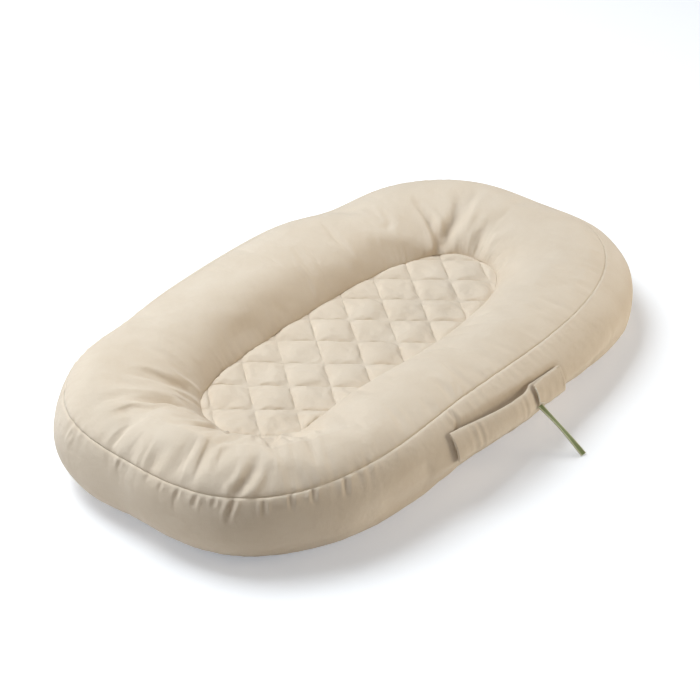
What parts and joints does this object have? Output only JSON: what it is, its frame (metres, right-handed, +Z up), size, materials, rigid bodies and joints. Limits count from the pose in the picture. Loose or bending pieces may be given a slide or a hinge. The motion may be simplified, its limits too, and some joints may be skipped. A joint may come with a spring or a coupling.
{
  "type": "infant lounger",
  "caption": "Oval infant lounger: a fibre-filled bolster in a zipped cotton cover round a recessed quilted pad, with a carry handle.",
  "frame": {"origin": "on the floor, under the middle of the whole object, handle and side tab included", "axes": "+X along the lounger from the high head end to the foot end, +Y from the handle's side to the far side, +Z up"},
  "size_m": [0.7388, 0.4983, 0.1129],
  "materials": {
    "cover": "woven cotton, cream",
    "liner": "plain off-white liner cloth",
    "fibre": "white polyester fibre",
    "tab": "sage green ribbon",
    "zip_tape": "woven tape, cream",
    "zip_teeth": "nylon coil, cream",
    "zip_metal": "nickel-plated"
  },
  "bodies": {
    "lounger": {"fibre_fill_ring": "fibre", "liner_top": "liner", "liner_bottom": "liner", "insert_sling": "liner", "quilt_backing": "liner", "quilt_batting": "fibre", "quilt_face": "cover", "cover_top_panel": "cover", "cover_side_panel": "cover", "cover_base_ring": "cover", "base_centre_near": "cover", "base_centre_far": "cover", "zip_tape_near": "zip_tape", "zip_tape_far": "zip_tape", "zip_teeth_near": "zip_teeth", "zip_teeth_far": "zip_teeth", "zip_stop_head": "zip_metal", "zip_stop_foot": "zip_metal", "handle_patch_head": "cover", "handle_patch_foot": "cover"},
    "handle": {"handle_strap": "cover"},
    "tab": {"side_tab": "tab"},
    "slider": {"zip_slider": "zip_metal"},
    "pull": {"zip_pull": "zip_metal"}
  },
  "joints": [
    {"name": "handle_lift", "type": "hinge", "parent": "lounger", "child": "handle", "pos_m": [-0.092, -0.1853, 0.0842], "axis": [-0.9976, 0.0431, 0.0545], "range_deg": [0, 110]},
    {"name": "tab_swing", "type": "hinge", "parent": "lounger", "child": "tab", "pos_m": [0.0356, -0.20242, 0.062], "axis": [-1, 0, 0], "range_deg": [0, 125]},
    {"name": "zip_slide", "type": "slide", "parent": "lounger", "child": "slider", "axis": [-1, 0, 0], "range_m": [0, 0.35262]},
    {"name": "pull_swing", "type": "hinge", "parent": "slider", "child": "pull", "pos_m": [0.17631, 0.02454, 0.02925], "axis": [0, 1, 0], "range_deg": [-80, 80]}
  ]
}
